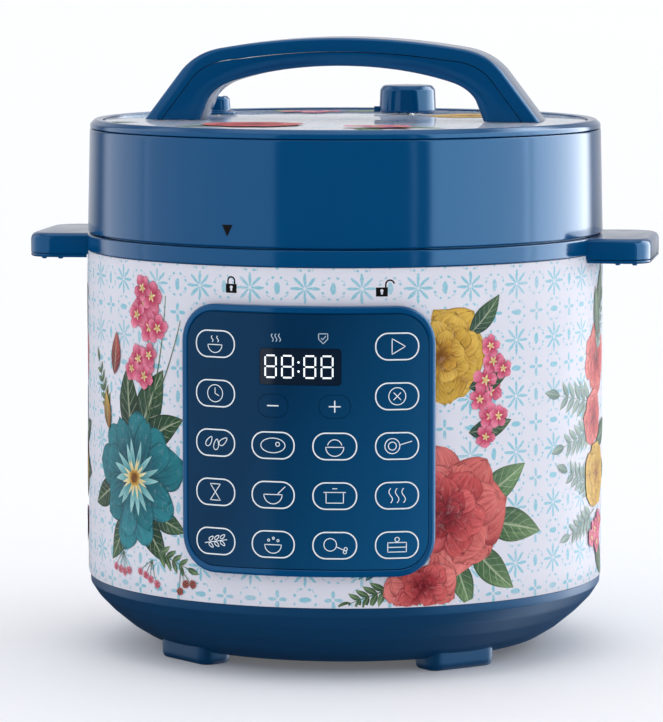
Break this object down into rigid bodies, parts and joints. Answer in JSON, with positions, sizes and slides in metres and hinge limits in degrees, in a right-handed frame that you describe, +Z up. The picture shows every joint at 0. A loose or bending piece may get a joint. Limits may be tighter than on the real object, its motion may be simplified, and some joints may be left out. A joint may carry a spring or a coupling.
{
  "type": "electric pressure and rice cooker",
  "caption": "Round electric pressure and rice cooker with a bayonet lid, arched lid handle, side handles, curved keypad, inner pot and flower-printed sleeve.",
  "frame": {"origin": "on the body's upright axis, at the level its feet stand on", "axes": "+Z up, the keypad faces -Y, the side handles and the lid handle run along X"},
  "size_m": [0.3184, 0.2782, 0.3114],
  "materials": {
    "satin_blue": "satin moulded blue",
    "gloss_blue": "high gloss moulded blue",
    "keypad_blue": "gloss printed film, dark blue with white line signs",
    "printed_sleeve": "lacquered steel printed with flowers on pale lavender white",
    "printed_disc": "gloss disc printed with pale flowers",
    "window_black": "tinted window",
    "steel": "brushed",
    "aluminium": "cast, machined face",
    "nonstick": "dark non-stick coating",
    "silicone": "translucent white silicone",
    "clear_cup": "clear",
    "black_plastic": "fine texture",
    "circuit_board": "green solder mask"
  },
  "bodies": {
    "base": {"base_shell": "satin_blue", "foot_front_left": "satin_blue", "foot_front_right": "satin_blue", "foot_rear_left": "satin_blue", "foot_rear_right": "satin_blue", "collar_with_side_handles": "gloss_blue", "side_handle_cover_left": "gloss_blue", "side_handle_cover_right": "gloss_blue", "keypad_frame": "gloss_blue", "keypad_film": "keypad_blue", "outer_sleeve": "printed_sleeve", "display_window": "window_black", "liner": "steel", "sensor_spring": "steel", "heater_plate": "aluminium", "bottom_cover": "black_plastic", "power_inlet": "black_plastic", "display_module": "black_plastic", "power_board": "circuit_board", "control_board": "circuit_board"},
    "pot": {"inner_pot": "nonstick"},
    "lid_seal": {"sealing_ring": "silicone"},
    "lid": {"lid_inner_plate": "steel", "lid_cover": "gloss_blue", "lid_top_ring": "gloss_blue", "lid_top_disc": "printed_disc", "seal_rack": "steel", "lid_plate_bolt": "steel", "handle_upper_shell": "gloss_blue", "handle_lower_shell": "gloss_blue", "handle_screw_left": "steel", "handle_screw_right": "steel", "steam_pipe": "steel", "anti_block_shield": "steel", "float_collar": "gloss_blue"},
    "weight": {"valve_weight": "steel"},
    "knob": {"steam_knob": "gloss_blue"},
    "float": {"float_pin": "steel", "float_seal": "silicone"},
    "sensor": {"sensor_cap": "aluminium"},
    "cup": {"drip_cup": "clear_cup"},
    "key_warm": {"key_warm": "keypad_blue"},
    "key_delay": {"key_delay": "keypad_blue"},
    "key_beans": {"key_beans": "keypad_blue"},
    "key_slow": {"key_slow": "keypad_blue"},
    "key_grain": {"key_grain": "keypad_blue"},
    "key_minus": {"key_minus": "keypad_blue"},
    "key_meat": {"key_meat": "keypad_blue"},
    "key_soup": {"key_soup": "keypad_blue"},
    "key_oats": {"key_oats": "keypad_blue"},
    "key_plus": {"key_plus": "keypad_blue"},
    "key_rice": {"key_rice": "keypad_blue"},
    "key_stew": {"key_stew": "keypad_blue"},
    "key_poultry": {"key_poultry": "keypad_blue"},
    "key_start": {"key_start": "keypad_blue"},
    "key_cancel": {"key_cancel": "keypad_blue"},
    "key_brown": {"key_brown": "keypad_blue"},
    "key_steam": {"key_steam": "keypad_blue"},
    "key_cake": {"key_cake": "keypad_blue"}
  },
  "joints": [
    {"name": "pot_lift", "type": "slide", "parent": "base", "child": "pot", "axis": [0, 0, 1], "range_m": [0, 0.2]},
    {"name": "lid_lift", "type": "slide", "parent": "pot", "child": "lid_seal", "axis": [0, 0, 1], "range_m": [0, 0.2]},
    {"name": "lid_turn", "type": "hinge", "parent": "lid_seal", "child": "lid", "pos_m": [0, 0, 0.212], "axis": [0, 0, 1], "range_deg": [0, 34]},
    {"name": "valve_pull", "type": "slide", "parent": "lid", "child": "weight", "axis": [0, 0, 1], "range_m": [0, 0.025]},
    {"name": "valve_turn", "type": "hinge", "parent": "weight", "child": "knob", "pos_m": [0.0214, 0.08, 0.28], "axis": [0, 0, 1], "range_deg": [0, 40]},
    {"name": "float_rise", "type": "slide", "parent": "lid", "child": "float", "axis": [0, 0, 1], "range_m": [0, 0.004]},
    {"name": "sensor_plunge", "type": "slide", "parent": "base", "child": "sensor", "axis": [0, 0, -1], "range_m": [0, 0.002], "stiffness_N_per_m": 800, "springref_m": -0.003, "deforming": ["sensor_spring"]},
    {"name": "cup_pull", "type": "slide", "parent": "base", "child": "cup", "axis": [0, 1, 0], "range_m": [0, 0.06]},
    {"name": "warm_press", "type": "slide", "parent": "base", "child": "key_warm", "axis": [0, 1, 0], "range_m": [0, 0.0004], "stiffness_N_per_m": 1500, "springref_m": -0.0003},
    {"name": "delay_press", "type": "slide", "parent": "base", "child": "key_delay", "axis": [0, 1, 0], "range_m": [0, 0.0004], "stiffness_N_per_m": 1500, "springref_m": -0.0003},
    {"name": "beans_press", "type": "slide", "parent": "base", "child": "key_beans", "axis": [0, 1, 0], "range_m": [0, 0.0004], "stiffness_N_per_m": 1500, "springref_m": -0.0003},
    {"name": "slow_press", "type": "slide", "parent": "base", "child": "key_slow", "axis": [0, 1, 0], "range_m": [0, 0.0004], "stiffness_N_per_m": 1500, "springref_m": -0.0003},
    {"name": "grain_press", "type": "slide", "parent": "base", "child": "key_grain", "axis": [0, 1, 0], "range_m": [0, 0.0004], "stiffness_N_per_m": 1500, "springref_m": -0.0003},
    {"name": "minus_press", "type": "slide", "parent": "base", "child": "key_minus", "axis": [0, 1, 0], "range_m": [0, 0.0004], "stiffness_N_per_m": 1500, "springref_m": -0.0003},
    {"name": "meat_press", "type": "slide", "parent": "base", "child": "key_meat", "axis": [0, 1, 0], "range_m": [0, 0.0004], "stiffness_N_per_m": 1500, "springref_m": -0.0003},
    {"name": "soup_press", "type": "slide", "parent": "base", "child": "key_soup", "axis": [0, 1, 0], "range_m": [0, 0.0004], "stiffness_N_per_m": 1500, "springref_m": -0.0003},
    {"name": "oats_press", "type": "slide", "parent": "base", "child": "key_oats", "axis": [0, 1, 0], "range_m": [0, 0.0004], "stiffness_N_per_m": 1500, "springref_m": -0.0003},
    {"name": "plus_press", "type": "slide", "parent": "base", "child": "key_plus", "axis": [0, 1, 0], "range_m": [0, 0.0004], "stiffness_N_per_m": 1500, "springref_m": -0.0003},
    {"name": "rice_press", "type": "slide", "parent": "base", "child": "key_rice", "axis": [0, 1, 0], "range_m": [0, 0.0004], "stiffness_N_per_m": 1500, "springref_m": -0.0003},
    {"name": "stew_press", "type": "slide", "parent": "base", "child": "key_stew", "axis": [0, 1, 0], "range_m": [0, 0.0004], "stiffness_N_per_m": 1500, "springref_m": -0.0003},
    {"name": "poultry_press", "type": "slide", "parent": "base", "child": "key_poultry", "axis": [0, 1, 0], "range_m": [0, 0.0004], "stiffness_N_per_m": 1500, "springref_m": -0.0003},
    {"name": "start_press", "type": "slide", "parent": "base", "child": "key_start", "axis": [0, 1, 0], "range_m": [0, 0.0004], "stiffness_N_per_m": 1500, "springref_m": -0.0003},
    {"name": "cancel_press", "type": "slide", "parent": "base", "child": "key_cancel", "axis": [0, 1, 0], "range_m": [0, 0.0004], "stiffness_N_per_m": 1500, "springref_m": -0.0003},
    {"name": "brown_press", "type": "slide", "parent": "base", "child": "key_brown", "axis": [0, 1, 0], "range_m": [0, 0.0004], "stiffness_N_per_m": 1500, "springref_m": -0.0003},
    {"name": "steam_press", "type": "slide", "parent": "base", "child": "key_steam", "axis": [0, 1, 0], "range_m": [0, 0.0004], "stiffness_N_per_m": 1500, "springref_m": -0.0003},
    {"name": "cake_press", "type": "slide", "parent": "base", "child": "key_cake", "axis": [0, 1, 0], "range_m": [0, 0.0004], "stiffness_N_per_m": 1500, "springref_m": -0.0003}
  ]
}
